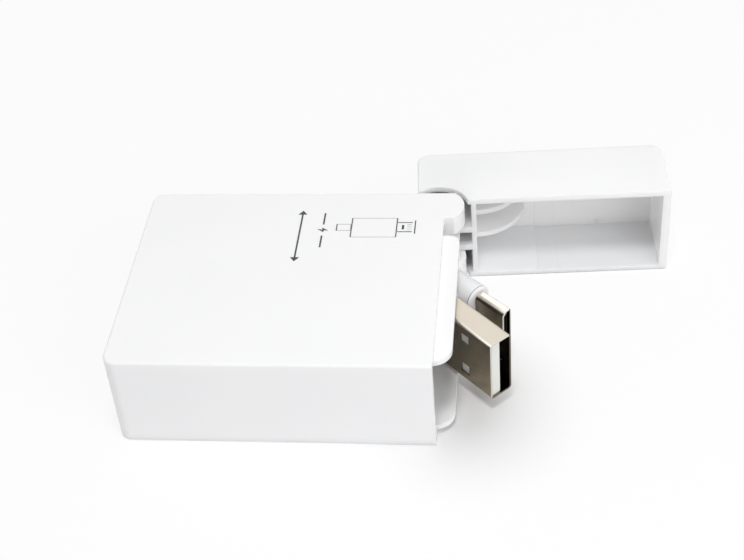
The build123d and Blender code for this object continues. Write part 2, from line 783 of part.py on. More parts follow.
room_micro_half = shell_micro_thickness / 2 - shell_micro_wall
insulator_micro_face = insulator_micro_gap + insulator_micro_thickness - room_micro_half
micro_length = shell_micro_exposed + shell_micro_hidden
with BuildPart() as micro_insulator:
    with BuildSketch(plug_micro.offset(-insulator_micro_recess)):
        with Locations((insulator_micro_face, 0)):
            Rectangle(
                insulator_micro_thickness,
                shell_micro_width - 2 * shell_micro_chamfer - 2 * shell_micro_wall,
                align=(Align.MAX, Align.CENTER),
            )
    extrude(amount=insulator_micro_recess - micro_length)
    with BuildSketch(plug_micro.offset(-micro_length)):
        Polygon(*micro_outline(shell_micro_wall + insulator_micro_gap), align=None)
    extrude(amount=insulator_micro_base)
micro_insulator.part.label = "micro_insulator"
export_step(micro_insulator.part, "parts/micro_insulator.step")

with BuildPart() as micro_contacts:
    with BuildSketch(plug_micro.offset(insulator_micro_base - micro_length + contact_micro_length)):
        with Locations((insulator_micro_face + contact_thickness / 2, 0)):
            with GridLocations(0, contact_micro_pitch, 1, contact_micro_count):
                Rectangle(contact_thickness, contact_micro_width)
    extrude(amount=-contact_micro_length)
micro_contacts.part.label = "micro_contacts"
export_step(micro_contacts.part, "parts/micro_contacts.step")

# Two sprung strips lie along the plain broad side, and their hooks stand out through its slots
strip_inner = room_micro_half - contact_thickness - insulator_micro_gap
strip_outer = room_micro_half - insulator_micro_gap
hook_top = shell_micro_thickness / 2 + latch_height
hook_back = -latch_start - latch_length
strip_back = insulator_micro_base - micro_length
flat_micro = Plane(origin=plug_micro_front, x_dir=plug_micro.z_dir, z_dir=(0, 0, 1))
with BuildPart() as micro_latches:
    for level in (-latch_pitch / 2, latch_pitch / 2):
        with BuildSketch(flat_micro.offset(level)):
            with BuildLine():
                Polyline(
                    (strip_back, strip_inner),
                    (-latch_start, strip_inner),
                    (-latch_start, strip_outer),
                    (hook_back + latch_width, hook_top),
                    (hook_back, hook_top),
                    (hook_back, strip_outer),
                    (strip_back, strip_outer),
                    close=True,
                )
            make_face()
        extrude(amount=latch_width / 2, both=True)
micro_latches.part.label = "micro_latches"
export_step(micro_latches.part, "parts/micro_latches.step")

with BuildPart() as micro_housing:
    with BuildSketch(plug_micro.offset(-shell_micro_exposed)):
        SlotOverall(housing_micro_width, housing_micro_thickness, rotation=90)
    extrude(amount=-housing_micro_length)
    chamfer(front_face(micro_housing, plug_micro).edges(), housing_bevel)
    with BuildSketch(plug_micro.offset(-boot_micro_start)):
        SlotOverall(housing_micro_width, housing_micro_thickness, rotation=90)
    with BuildSketch(plug_micro.offset(-boot_micro_end)):
        SlotOverall(cable_width + 2 * boot_wall, cable_thickness + 2 * boot_wall, rotation=90)
    loft()
    with BuildSketch(plug_micro.offset(-shell_micro_exposed)) as micro_pocket:
        Polygon(*micro_outline(0), align=None)
        fillet(micro_pocket.vertices(), shell_micro_radius)
    extrude(amount=-shell_micro_hidden, mode=Mode.SUBTRACT)
micro_housing.part.label = "micro_housing"
export_step(micro_housing.part, "parts/micro_housing.step")


def lead_route(start_y, plane, length):
    """A lead's corner points and bend radius, from the roll to the back of its plug."""
    direction = plane.z_dir
    end = plane.origin - direction * length
    last_run = (end.Y - start_y) / direction.Y
    corner = end - direction * last_run
    bend = radians(direction.get_angle(Vector(1, 0, 0)))
    radius = bend_share * last_run / tan(bend / 2)
    return [(reel_x, start_y), (corner.X, corner.Y), (end.X, end.Y)], radius


# Flat leads, from the step of the roll to the two plugs
for name, start_y, plane, length in (
    ("usb_a_lead", lead_a_y, plug_a, boot_a_end),
    ("micro_lead", lead_micro_y, plug_micro, boot_micro_end),
):
    points, bend_radius = lead_route(start_y, plane, length)
    print(name, "bend radius", round(bend_radius, 2))
    with BuildPart() as lead:
        with BuildSketch(Plane.XY.offset(cable_low)):
            with BuildLine():
                FilletPolyline(*points, radius=bend_radius)
            trace(line_width=cable_thickness)
        extrude(amount=cable_width)
    lead.part.label = name
    export_step(lead.part, f"parts/{name}.step")
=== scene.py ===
# %% [markdown]
# A white flip-lid box winds two short charging leads onto a sprung reel. The rigid pieces arrive as
# finished solids, at their real size and place, so this lesson dresses them: a camera, a light, one
# finish for each material, and the few pieces that are better made by hand here, such as the leads and
# the print.

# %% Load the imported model
import json
import math
from collections import namedtuple

import bpy
from mathutils import Matrix, Vector


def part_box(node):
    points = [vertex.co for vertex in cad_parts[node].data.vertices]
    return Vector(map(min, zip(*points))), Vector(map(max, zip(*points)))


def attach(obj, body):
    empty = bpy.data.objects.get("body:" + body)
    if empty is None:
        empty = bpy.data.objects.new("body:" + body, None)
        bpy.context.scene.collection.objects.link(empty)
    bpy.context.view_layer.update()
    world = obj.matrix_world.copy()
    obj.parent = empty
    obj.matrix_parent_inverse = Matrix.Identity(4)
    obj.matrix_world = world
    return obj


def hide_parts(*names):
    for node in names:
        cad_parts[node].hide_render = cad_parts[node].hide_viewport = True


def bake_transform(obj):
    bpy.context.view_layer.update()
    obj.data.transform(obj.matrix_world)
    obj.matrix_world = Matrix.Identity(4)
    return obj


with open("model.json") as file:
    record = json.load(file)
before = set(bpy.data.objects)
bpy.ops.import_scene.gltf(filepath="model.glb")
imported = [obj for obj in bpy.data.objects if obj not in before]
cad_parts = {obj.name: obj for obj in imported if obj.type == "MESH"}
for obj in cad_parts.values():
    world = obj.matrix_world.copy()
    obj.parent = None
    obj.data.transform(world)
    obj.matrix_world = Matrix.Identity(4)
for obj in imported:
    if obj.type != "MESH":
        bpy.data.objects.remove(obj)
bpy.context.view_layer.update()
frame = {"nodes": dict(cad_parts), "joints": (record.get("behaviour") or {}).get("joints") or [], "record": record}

MM = 0.001
nodes = frame["nodes"]
case_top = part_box("upper_shell")[1].z / MM
print("nodes", len(nodes), "case top", round(case_top, 2), "mm")

# %% [markdown]
# The camera stands where the photo was taken from: above the near long side, tipped down by about 40
# degrees and rolled a little. A long lens keeps the box's edges almost parallel. The place was found by
# matching the corners of the box, and it is given in millimetres from the middle of the box's underside.

# %% Camera
camera_place = Vector((42.62, -187.56, 176.89)) * MM
camera_pitch = math.radians(40.243)
camera_yaw = math.radians(8.348)
camera_roll = math.radians(-5.133)
lens = bpy.data.cameras.new("photo_lens")
lens.lens = 71.5
lens.sensor_width = 36.0
lens.clip_start = 0.01
lens.clip_end = 10.0
camera = bpy.data.objects.new("photo_camera", lens)
bpy.context.scene.collection.objects.link(camera)
turn = Matrix.Rotation(camera_yaw, 4, "Z") @ Matrix.Rotation(math.pi / 2 - camera_pitch, 4, "X")
camera.matrix_world = Matrix.Translation(camera_place) @ turn @ Matrix.Rotation(camera_roll, 4, "Z")
bpy.context.scene.camera = camera
print("camera stands", round(camera_place.length / MM), "mm from the box")

# %% [markdown]
# Shader arithmetic reads best as arithmetic. Wire holds one output socket, and adding, multiplying or
# comparing wires quietly adds the Math nodes.

# %% Wires
class Wire:
    """One output socket of a shader node, ready for plain arithmetic."""

    def __init__(self, finish, socket):
        self.finish = finish
        self.socket = socket

    def __add__(self, other):
        return self.finish.maths("ADD", self, other)

    def __sub__(self, other):
        return self.finish.maths("SUBTRACT", self, other)

    def __rsub__(self, other):
        return self.finish.maths("SUBTRACT", other, self)

    def __mul__(self, other):
        return self.finish.maths("MULTIPLY", self, other)

    def __gt__(self, other):
        return self.finish.maths("GREATER_THAN", self, other)

    def __lt__(self, other):
        return self.finish.maths("LESS_THAN", self, other)

    def __abs__(self):
        return self.finish.maths("ABSOLUTE", self, 0.0)

    __radd__ = __add__
    __rmul__ = __mul__


print("wires ready")

# %% [markdown]
# Every other node comes from one method, Finish.node, which sets the node's own choices first and then
# fills its sockets with numbers or wires. The methods below it are the few mixtures of nodes that most
# finishes share. The Mix node has one set of sockets for each kind of value, so its colours have to be
# named by their places.

# %% Finishes
class Finish:
    """A material, a world or a floor under construction."""

    mix_under, mix_over, mix_result = 6, 7, 2

    def __init__(self, owner):
        self.owner = owner
        owner.use_nodes = True
        self.tree = owner.node_tree
        self.tree.nodes.clear()

    def node(self, kind, settings=None, inputs=None, output=0):
        made = self.tree.nodes.new("ShaderNode" + kind)
        for name, value in (settings or {}).items():
            if name == "stops":
                for element, (place, shade) in zip(made.color_ramp.elements, value):
                    element.position = place
                    element.color = (shade, shade, shade, 1)
            else:
                setattr(made, name, value)
        for key, value in (inputs or {}).items():
            if isinstance(value, Wire):
                self.tree.links.new(value.socket, made.inputs[key])
            else:
                made.inputs[key].default_value = value
        return Wire(self, made.outputs[output])

    def maths(self, operation, first, second):
        return self.node("Math", {"operation": operation}, {0: first, 1: second})

    def place(self):
        return self.node("TexCoord", output="Object")

    def directions(self, origin, angle):
        """Millimetres along, across and up from a point, after turning by an angle round the vertical."""
        inputs = {
            "Vector": self.place(),
            "Location": origin,
            "Rotation": (0, 0, angle),
            "Scale": (MM, MM, MM),
        }
        turned = self.node("Mapping", {"vector_type": "TEXTURE"}, inputs)
        return [self.node("SeparateXYZ", None, {0: turned}, output=axis) for axis in "XYZ"]

    def within(self, box):
        """1 inside a box and 0 outside it. The box may be turned round the vertical."""
        mask = None
        for reach, low, high in zip(self.directions(box.origin, box.angle), box.low, box.high):
            between = (reach > low) * (reach < high)
            mask = between if mask is None else mask * between
        return mask

    def noise(self, where, scale, detail=2.0):
        return self.node("TexNoise", None, {"Vector": where, "Scale": scale, "Detail": detail})

    def ramp(self, factor, low, high):
        """0 up to the low value, 1 from the high one, and an even slope between. Both lie in 0 to 1."""
        return self.node("ValToRGB", {"stops": ((low, 0), (high, 1))}, {0: factor})

    def blend(self, factor, first, second):
        """The first colour, which may be a wire, giving way to the second as the factor goes from 0 to 1."""
        under = first if isinstance(first, Wire) else (*first, 1)
        inputs = {0: factor, self.mix_under: under, self.mix_over: (*second, 1)}
        return self.node("Mix", {"data_type": "RGBA"}, inputs, output=self.mix_result)

    def show(self, shader, output="OutputMaterial"):
        end = self.tree.nodes.new("ShaderNode" + output)
        self.tree.links.new(shader.socket, end.inputs["Surface"])
        return self.owner


def new_finish(name):
    return Finish(bpy.data.materials.new(name))


print("finishes ready")

# %% [markdown]
# The photograph has the look of a white sweep: bright from every side, with only faint shadows where the
# box meets the table. The world gives the even light. To the camera and to mirrors it shows plain white,
# and to matt surfaces it shines less, so the white plastic keeps its shading.

# %% World
sky_level = 0.52


def seen_rays(finish):
    """1 for rays of the camera, of mirrors and of glass, and 0 for the rays that light matt surfaces."""
    straight = finish.node("LightPath", output="Is Camera Ray")
    mirrored = finish.node("LightPath", output="Is Glossy Ray")
    through = finish.node("LightPath", output="Is Transmission Ray")
    return finish.maths("MINIMUM", straight + mirrored + through, 1.0)


sky = Finish(bpy.data.worlds.new("white_room"))
sky_strength = sky_level + seen_rays(sky) * (1 - sky_level)
sky_light = sky.node("Background", None, {"Color": (1, 1, 1, 1), "Strength": sky_strength})
bpy.context.scene.world = sky.show(sky_light, "OutputWorld")
bpy.context.scene.view_settings.view_transform = "Standard"
print("matt surfaces get", sky_level, "of the white that the camera sees")

# %% [markdown]
# Four lamps shape the light, in two pairs. One almost overhead lights the top and the near part of the
# lid's floor, and one beyond the mouth reaches into the lid and between the plugs. Mirrored in glossy
# plastic, these two would burn the top out from some sides, so they are hidden from mirrors. The other
# two are there for the mirrors alone: one behind shines in the flat metal, and one far to the side draws
# the bright line along the plugs' rounded edges.

# %% Lamps
Lamp = namedtuple("Lamp", "spot side power mirrored")
lamps = {
    "overhead": Lamp((30.0, -115.0, 400.0), side=80.0, power=0.54, mirrored=False),
    "mouth": Lamp((300.0, -230.0, 230.0), side=320.0, power=0.57, mirrored=False),
    "behind": Lamp((-60.0, 330.0, 320.0), side=360.0, power=0.18, mirrored=True),
    "side": Lamp((-440.0, -40.0, 240.0), side=160.0, power=0.14, mirrored=True),
}
lamp_target = Vector((10.0, 0.0, 8.0)) * MM
for name, (spot, side, power, mirrored) in lamps.items():
    softbox = bpy.data.lights.new(name, "AREA")
    softbox.size = side * MM
    softbox.energy = power
    lamp = bpy.data.objects.new(name, softbox)
    bpy.context.scene.collection.objects.link(lamp)
    lamp.visible_diffuse = not mirrored
    lamp.visible_glossy = mirrored
    lamp.location = Vector(spot) * MM
    lamp.rotation_euler = (lamp_target - lamp.location).to_track_quat("-Z", "Y").to_euler()
    print("lamp", name, power, "W at", round((lamp_target - lamp.location).length / MM), "mm")

# %% [markdown]
# The table is one large plane. Where the camera looks at it, most of what it shows is plain white and the
# rest is a real matt surface, so it reads as white paper and still carries the soft shadows. Under the
# plugs, where the shadow is deepest, only the matt surface is left, and the paper is painted darker there,
# a painted shadow that deepens the real one. Far out the matt surface fades away, so no horizon shows.
# These are ramps on the distance from one spot below the plugs, as a share of a span. For the light that
# it throws back up at the box, the paper counts as a duller one, which keeps the box's sides shaded. The
# table lies a hair below the box, because two faces in exactly the same plane would flicker.

# %% Table
table_side = 3.0
table_white = 0.8
table_gap = 0.04 * MM
shadow_spot = Vector((30.0, -14.0, 0.0)) * MM
shadow_span, shadow_core, shadow_rim = 0.1, 0.04, 0.22
fade_span, fade_from, fade_to = 0.5, 0.16, 0.8
paper_tones = (0.95, 0.95, 0.955), (0.97, 0.97, 0.97)
paper_grain = 900.0
painted_shadow_tone = (0.76, 0.76, 0.76)
bounce_tone = (0.83, 0.83, 0.835)


def paper_floor():
    finish = new_finish("white_paper")
    seen = seen_rays(finish)
    ends = {0: finish.place(), 1: shadow_spot}
    far = finish.node("VectorMath", {"operation": "DISTANCE"}, ends, output="Value")
    clear = finish.ramp(far * (1 / shadow_span), shadow_core, shadow_rim)
    faded = finish.ramp(far * (1 / fade_span), fade_from, fade_to)
    paper = finish.blend(finish.noise(finish.place(), paper_grain), *paper_tones)
    # Painted shadow: towards the spot below the plugs the paper is darkened.
    shade = finish.blend(1 - clear, paper, painted_shadow_tone)
    matt = finish.node("BsdfDiffuse", None, {"Color": finish.blend(1 - seen, shade, bounce_tone)})
    glow = finish.node("Emission", None, {"Color": (1, 1, 1, 1), "Strength": 1.0})
    share = clear * table_white + faded * (1 - table_white)
    return finish.show(finish.node("MixShader", None, {0: seen * share, 1: matt, 2: glow}))


bpy.ops.object.select_all(action="DESELECT")
bpy.ops.mesh.primitive_plane_add(size=table_side, location=(0, 0, -table_gap))
bpy.ops.object.transform_apply(location=True, rotation=False, scale=False)
table = bpy.context.object
table.name = "table"
table.data.materials.append(paper_floor())
print("table", table_side, "m wide")

# %% [markdown]
# The two plugs and the open lid stand at a slant, so a finish that draws something on them has to know
# where they are. The model says so: each plug has a mount in the middle of its front and slides along its
# own axis, and the lid stands open by the whole range of its hinge. A Box is a region measured from such
# a point, in millimetres along, across and up. A Plug adds the sizes of a folded shell and says how light
# and shade are painted on its plating: how bright the painted highlights on its narrow faces and its folds
# are, and over which stretch behind the front painted shade darkens it. Of the sizes, skin is how far in
# the painted shade of the inside starts, chamfer is what the near corners lose, and cavity is how far
# towards the near side that painted shade reaches.

# %% Plugs and lid
joints = {joint["name"]: joint for joint in frame["joints"]}
mounts = {mount["name"]: mount for mount in frame["record"]["mounts"]}
Box = namedtuple("Box", "origin angle low high")
shell_sizes = "front angle half_thickness half_width skin chamfer cavity"
# The fields after the sizes set the painted highlights and painted shade on the plating.
shell_wear = "shine fold fold_from fold_shine root root_tone"
Plug = namedtuple("Plug", f"{shell_sizes} {shell_wear}")


def slant(axis):
    """How far a direction is turned round the vertical."""
    return math.atan2(axis[1], axis[0])


plug_a = Plug(
    front=Vector(mounts["usb_a_plug"]["pos_m"]),
    angle=slant(joints["usb_a_pull"]["axis"]),
    half_thickness=2.25,
    half_width=6.0,
    skin=0.32,
    chamfer=0.0,
    cavity=-0.15,
    shine=0.5,
    fold=0.48,
    fold_from=0.0,
    fold_shine=0.7,
    root=(3.0, 13.0),
    root_tone=0.7,
)
plug_micro = Plug(
    front=Vector(mounts["micro_usb_plug"]["pos_m"]),
    angle=slant(joints["micro_pull"]["axis"]),
    half_thickness=0.925,
    half_width=3.425,
    skin=0.05,
    chamfer=0.75,
    cavity=-9.0,
    shine=1.0,
    fold=0.03,
    fold_from=2.95,
    fold_shine=0.8,
    root=(5.2, 6.9),
    root_tone=0.5,
)
lid_pivot = Vector(joints["lid_hinge"]["pos_m"])
lid_turn = math.radians(-joints["lid_hinge"]["range_deg"][0])
for plug in (plug_a, plug_micro):
    print("plug", 2 * plug.half_width, "mm wide, turned", round(math.degrees(plug.angle), 1), "degrees")

# %% [markdown]
# Glossy white plastic makes up the box. Real mouldings are not one flat colour: the melt leaves cloudy
# streaks, the tool leaves a very fine texture, handling leaves duller patches, and a few specks of dust
# cling to it. Each of these is one noise, kept faint. Sharp corners of a moulding are never quite sharp,
# so a Bevel node rounds the shading there. A little light also sinks in and comes out nearby, which keeps
# thin walls from going grey. A line is a dark band a fraction of a millimetre wide: a thin Box, and what
# lies inside it is darkened.

# %% Plastic maker
edge_softness = 0.14 * MM
glow_depth = 1.6 * MM
glow_spread = (1.0, 0.95, 0.9)
cloud_scale, smear_scale, grain_scale = 70.0, 160.0, 5200.0
speck_scale, speck_size = 118.0, 0.03
speck_patch, speck_rarity = 45.0, 0.66
speck_tone = (0.42, 0.38, 0.3)
line_grey = (0.2, 0.2, 0.22)


def plastic(name, light, shade, gloss, dull, speck=0.0, glow=0.0, lines=()):
    """Two tones, the roughness where clean and where handled, and how strong specks and inner light are."""
    finish = new_finish(name)
    where = finish.place()
    cloud = finish.ramp(finish.noise(where, cloud_scale, detail=4.0), low=0.35, high=0.7)
    smear = finish.ramp(finish.noise(where, smear_scale, detail=5.0), low=0.45, high=0.75)
    grain = finish.noise(where, grain_scale, detail=1.0)
    colour = finish.blend(cloud, light, shade)
    if speck:
        cells = {"Vector": where, "Scale": speck_scale}
        spots = finish.node("TexVoronoi", {"feature": "F1"}, cells, output="Distance")
        patch = finish.noise(where, speck_patch, detail=0.0)
        colour = finish.blend((spots < speck_size) * (patch > speck_rarity) * speck, colour, speck_tone)
    for box, depth in lines:
        colour = finish.blend(finish.within(box) * depth, colour, line_grey)
    corner = finish.node("Bevel", {"samples": 6}, {"Radius": edge_softness})
    texture = {"Strength": 0.05, "Distance": 0.02 * MM, "Height": grain, "Normal": corner}
    surface = {
        "Base Color": colour,
        "Roughness": gloss + smear * (dull - gloss),
        "IOR": 1.52,
        "Subsurface Weight": glow,
        "Subsurface Radius": glow_spread,
        "Subsurface Scale": glow_depth,
        "Normal": finish.node("Bump", None, texture),
    }
    return finish.show(finish.node("BsdfPrincipled", None, surface))


print("plastic edges are softened by", edge_softness / MM, "mm")

# %% [markdown]
# Each plastic is the same recipe with its own tones. The lid's plastic lets more light through than the
# box's, and it has the faint lines that a mould's inserts leave. The small plug's grip has a joint round
# its end. Both are lines in the finish, because a groove this fine would only make the mesh heavy.

# %% Plastics
right_through = 9.0
joint_back, joint_front = -6.98, -6.84
grip_joint = Box(
    plug_micro.front,
    plug_micro.angle,
    low=(joint_back, -right_through, -right_through),
    high=(joint_front, right_through, right_through),
)
grip_lines = [(grip_joint, 0.9)]
lid_reach = 14.6
lid_skin = 0.6


def insert_line(start, end):
    """A slice across the inside of the lid, in the directions of the shut lid."""
    return Box(lid_pivot, lid_turn, low=(0.0, start, lid_skin), high=(lid_reach, end, case_top - lid_skin))


lid_lines = [(insert_line(-17.86, -17.76), 0.12), (insert_line(-21.5, -21.38), 0.06)]
box_gloss = {"gloss": 0.19, "dull": 0.25, "speck": 0.25}
case_tones = (0.945, 0.945, 0.952), (0.93, 0.931, 0.94)
# The lid is the same white plastic as the box, but its tones are lighter: painted light that lifts its shaded
# inside.
lid_painted_light_tones = (0.965, 0.965, 0.97), (0.955, 0.956, 0.962)
plug_tones = (0.88, 0.885, 0.895), (0.86, 0.865, 0.875)
grip_tones = (0.92, 0.924, 0.932), (0.9, 0.904, 0.914)
reel_tones = (0.76, 0.76, 0.75), (0.72, 0.72, 0.71)
lead_tones = (0.82, 0.82, 0.82), (0.78, 0.78, 0.79)
pale_tones = (0.83, 0.84, 0.8), (0.79, 0.8, 0.76)
black_tones = (0.012, 0.012, 0.014), (0.02, 0.02, 0.022)
white_plastic = plastic("white_plastic", *case_tones, **box_gloss, glow=0.2)
lid_plastic = plastic("lid_plastic", *lid_painted_light_tones, **box_gloss, glow=0.85, lines=lid_lines)
plug_plastic = plastic("plug_plastic", *plug_tones, gloss=0.3, dull=0.42)
grip_plastic = plastic("grip_plastic", *grip_tones, gloss=0.26, dull=0.38, glow=0.3, lines=grip_lines)
reel_plastic = plastic("reel_plastic", *reel_tones, gloss=0.4, dull=0.55)
lead_jacket = plastic("lead_jacket", *lead_tones, gloss=0.42, dull=0.58)
pale_insulator = plastic("pale_insulator", *pale_tones, gloss=0.45, dull=0.6)
black_insulator = plastic("black_insulator", *black_tones, gloss=0.4, dull=0.55)
print("plastics", white_plastic.name, plug_plastic.name, grip_plastic.name, reel_plastic.name)

# %% [markdown]
# The plugs' shells are folded from thin nickel-plated sheet, and light and shade are painted on them.
# Masks say where, by comparing the distances along, across and up from the middle of the plug's front.
# The narrow faces, the near folds and the near and upper parts of the cut front edge get painted
# highlights. The rest of that edge gets painted shade, and so does the inner half of the small plug's
# fold. Inside the shell the plating is painted dark as shade, and behind the front the outside is painted
# darker too, a painted reflection of the box's dim mouth. Masks suit this better than separate pieces,
# since the metal is one sheet.

# %% Painted light and shade on the plating
mask_play = 0.02
narrow_band = 0.15
front_band = 0.03
sheet_edge = 0.34
fold_softness = 0.2
root_span = 20.0
# Strengths and tones of the painted highlights and painted shade on the plating.
fold_shade, rim_highlight, rim_shade = 0.85, 0.8, 0.6
painted_highlight = (0.82, 0.77, 0.7)
painted_fold_highlight = (0.98, 0.92, 0.84)
painted_shade = (0.03, 0.026, 0.02)
painted_root_shade = (0.1, 0.085, 0.065)
painted_inside_shade = (0.02, 0.019, 0.017)


def paint_plating_light(finish, colour, plug):
    """Lays painted highlights and painted shade over a plain tint, one mask and its tone after the other."""
    along, across, up = finish.directions(plug.front, plug.angle)
    height = abs(up)
    inner_thickness = plug.half_thickness - plug.skin + mask_play
    inner_width = plug.half_width - plug.skin + mask_play
    inner_corner = inner_thickness + inner_width - plug.chamfer
    inside = (abs(across) < inner_thickness) * (height < inner_width) * (height - across < inner_corner)
    narrow = height > plug.half_width - narrow_band
    folds = height - across > plug.half_width + plug.half_thickness - plug.chamfer - plug.fold
    rise = finish.ramp(height - plug.fold_from, 0.0, fold_softness)
    front = along > -front_band
    near_rim = (across < plug.half_thickness - sheet_edge) * (up > sheet_edge - plug.half_width)
    root = finish.ramp(along * (-1 / root_span), *(behind / root_span for behind in plug.root))
    for mask, tone in (
        (root * plug.root_tone * (1 - narrow), painted_root_shade),
        (narrow * plug.shine, painted_highlight),
        (folds * rise * plug.fold_shine, painted_fold_highlight),
        (folds * (1 - rise) * fold_shade, painted_shade),
        (front * near_rim * rim_highlight, painted_highlight),
        (front * (1 - near_rim) * rim_shade, painted_shade),
        (inside * (across > plug.cavity) * (1 - front), painted_inside_shade),
    ):
        colour = finish.blend(mask, colour, tone)
    return colour


print("cut edges are", sheet_edge, "mm wide")

# %% [markdown]
# Rolling leaves fine lines along a sheet of metal, so a noise is stretched along each plug by a Mapping
# node, and it breaks up both the tint and the gloss. A slower noise adds tarnish. On the large plug's
# broad side, a small pressed dimple is drawn as painted shade with a smaller painted highlight in it, and
# a slit as a dark line, all Boxes that reach right through the shell.

# %% Metals
line_stretch = 14.0
line_scale, tarnish_scale = 5200.0, 420.0
mark_strength = 0.8


def metal(name, light, shade, gloss, dull, plug=None, marks=()):
    finish = new_finish(name)
    where = finish.place()
    rolling = (0, 0, plug.angle if plug else 0.0)
    sheet = {"Vector": where, "Rotation": rolling, "Scale": (line_stretch, 1, 1)}
    lines = finish.noise(finish.node("Mapping", {"vector_type": "TEXTURE"}, sheet), line_scale, detail=3.0)
    tarnish = finish.ramp(finish.noise(where, tarnish_scale, detail=4.0), low=0.4, high=0.72)
    colour = finish.blend(lines * 0.5 + tarnish * 0.5, light, shade)
    if plug:
        colour = paint_plating_light(finish, colour, plug)
    for box, tone in marks:
        colour = finish.blend(finish.within(box) * mark_strength, colour, tone)
    surface = {
        "Base Color": colour,
        "Metallic": 1.0,
        "Roughness": gloss + lines * (dull - gloss),
        "Normal": finish.node("Bump", None, {"Strength": 0.08, "Distance": 0.01 * MM, "Height": lines}),
    }
    return finish.show(finish.node("BsdfPrincipled", None, surface))


def press_mark(back, front, low, high):
    """A box through the large plug's broad sides, with its reach along the plug and its height."""
    return Box(plug_a.front, plug_a.angle, (back, -right_through, low), (front, right_through, high))


dimple_light_and_slit = (
    # The first box is the dimple's painted shade, the second its painted highlight, the third the slit's dark
    # line.
    (press_mark(-2.2, -1.8, -1.15, -0.75), (0.05, 0.045, 0.035)),
    (press_mark(-2.2, -1.96, -1.02, -0.78), (0.95, 0.93, 0.88)),
    (press_mark(-3.86, -3.78, -1.05, -0.4), (0.12, 0.11, 0.09)),
)
# The nickel tints are set darker than bare nickel: part of their darkness is painted shade, standing in for the
# dim things that the sides reflect.
nickel_a_tones = (0.33, 0.28, 0.195), (0.27, 0.225, 0.15)
nickel_micro_tones = (0.34, 0.295, 0.23), (0.28, 0.24, 0.18)
steel_tones = (0.62, 0.62, 0.64), (0.5, 0.5, 0.52)
latch_tones = (0.1, 0.09, 0.08), (0.07, 0.065, 0.06)
spring_tones = (0.3, 0.31, 0.36), (0.22, 0.22, 0.27)
gold_tones = (0.9, 0.68, 0.3), (0.8, 0.58, 0.22)
nickel_a = metal("nickel_a", *nickel_a_tones, gloss=0.24, dull=0.4, plug=plug_a, marks=dimple_light_and_slit)
nickel_micro = metal("nickel_micro", *nickel_micro_tones, gloss=0.24, dull=0.4, plug=plug_micro)
steel = metal("steel", *steel_tones, gloss=0.25, dull=0.4)
latch_steel = metal("latch_steel", *latch_tones, gloss=0.4, dull=0.55)
spring_steel = metal("spring_steel", *spring_tones, gloss=0.28, dull=0.42)
gold = metal("gold_plate", *gold_tones, gloss=0.18, dull=0.3)
print("metals", nickel_a.name, nickel_micro.name, steel.name, spring_steel.name, gold.name)

# %% [markdown]
# The solids whose shape is already right only need their finish. A node's object holds one material slot,
# and putting a material into it dresses the whole piece.

# %% Dress the solids
node_finish = {
    "upper_shell": white_plastic,
    "lower_cover": white_plastic,
    "flip_lid": lid_plastic,
    "hinge_pin": steel,
    "reel_axle": steel,
    "pawl_screw": steel,
    "reel_drum": reel_plastic,
    "reel_flange": reel_plastic,
    "lock_pawl": reel_plastic,
    "usb_a_shell": nickel_a,
    "usb_a_insulator": pale_insulator,
    "usb_a_contacts": gold,
    "usb_a_housing": plug_plastic,
    "micro_shell": nickel_micro,
    "micro_insulator": black_insulator,
    "micro_contacts": gold,
    "micro_latches": latch_steel,
    "micro_housing": grip_plastic,
}


def dress(piece, material):
    piece.data.materials.clear()
    piece.data.materials.append(material)


for name, material in node_finish.items():
    dress(nodes[name], material)
print("dressed", len(node_finish), "solids")

# %% [markdown]
# The leads, the spring and the print all start as flat lines in the plane of the box's underside. Three
# small helpers draw such a line, turn it into a mesh at its height, and apply a modifier to the mesh. An
# operator acts on all that is selected, so everything else is deselected first.

# %% Flat lines
def draw(curve, kind, points):
    spline = curve.splines.new(kind)
    spline.points.add(len(points) - 1)
    for point, (x, y) in zip(spline.points, points):
        point.co = (x * MM, y * MM, 0, 1)
    return spline


def mesh_at(height, name, curve):
    piece = bpy.data.objects.new(name, curve)
    bpy.context.scene.collection.objects.link(piece)
    bpy.ops.object.select_all(action="DESELECT")
    piece.select_set(True)
    bpy.context.view_layer.objects.active = piece
    bpy.ops.object.convert(target="MESH")
    bpy.ops.transform.translate(value=(0, 0, height * MM))
    bpy.ops.object.transform_apply(location=True, rotation=False, scale=False)
    return bpy.context.object


def apply_modifier(piece, kind, **settings):
    modifier = piece.modifiers.new(kind.lower(), kind)
    for name, value in settings.items():
        setattr(modifier, name, value)
    bpy.ops.object.modifier_apply(modifier=modifier.name)


print("line helpers ready")

# %% [markdown]
# The leads and the reel's spring are flat ribbons on edge. A ribbon is a NURBS line with Extrude giving
# it height. Once it is a mesh, a Solidify modifier gives it thickness, and a Bevel modifier rounds its
# edges. One function makes them all, and a Sheet says what a ribbon is cut from.

# %% Ribbon maker
mid_height = case_top / 2
Sheet = namedtuple("Sheet", "width thickness rounding middle finish slot")
lead_sheet = Sheet(
    width=4.8,
    thickness=0.8,
    rounding=0.22,
    middle=mid_height,
    finish=lead_jacket,
    slot="cable",
)


def ribbon(name, points, smoothness, sheet):
    line = bpy.data.curves.new(name, "CURVE")
    line.dimensions = "2D"
    line.fill_mode = "NONE"
    line.extrude = sheet.width / 2 * MM
    line.resolution_u = smoothness
    spline = draw(line, "NURBS", points)
    spline.order_u = 3
    spline.use_endpoint_u = True
    piece = mesh_at(sheet.middle, name, line)
    apply_modifier(piece, "SOLIDIFY", thickness=sheet.thickness * MM, offset=0.0)
    apply_modifier(piece, "BEVEL", width=sheet.rounding * MM, segments=3, limit_method="ANGLE")
    bpy.ops.object.shade_smooth()
    dress(piece, sheet.finish)
    print(name, "has", len(piece.data.polygons), "faces")
    return piece


print("leads are", lead_sheet.width, "by", lead_sheet.thickness, "mm")
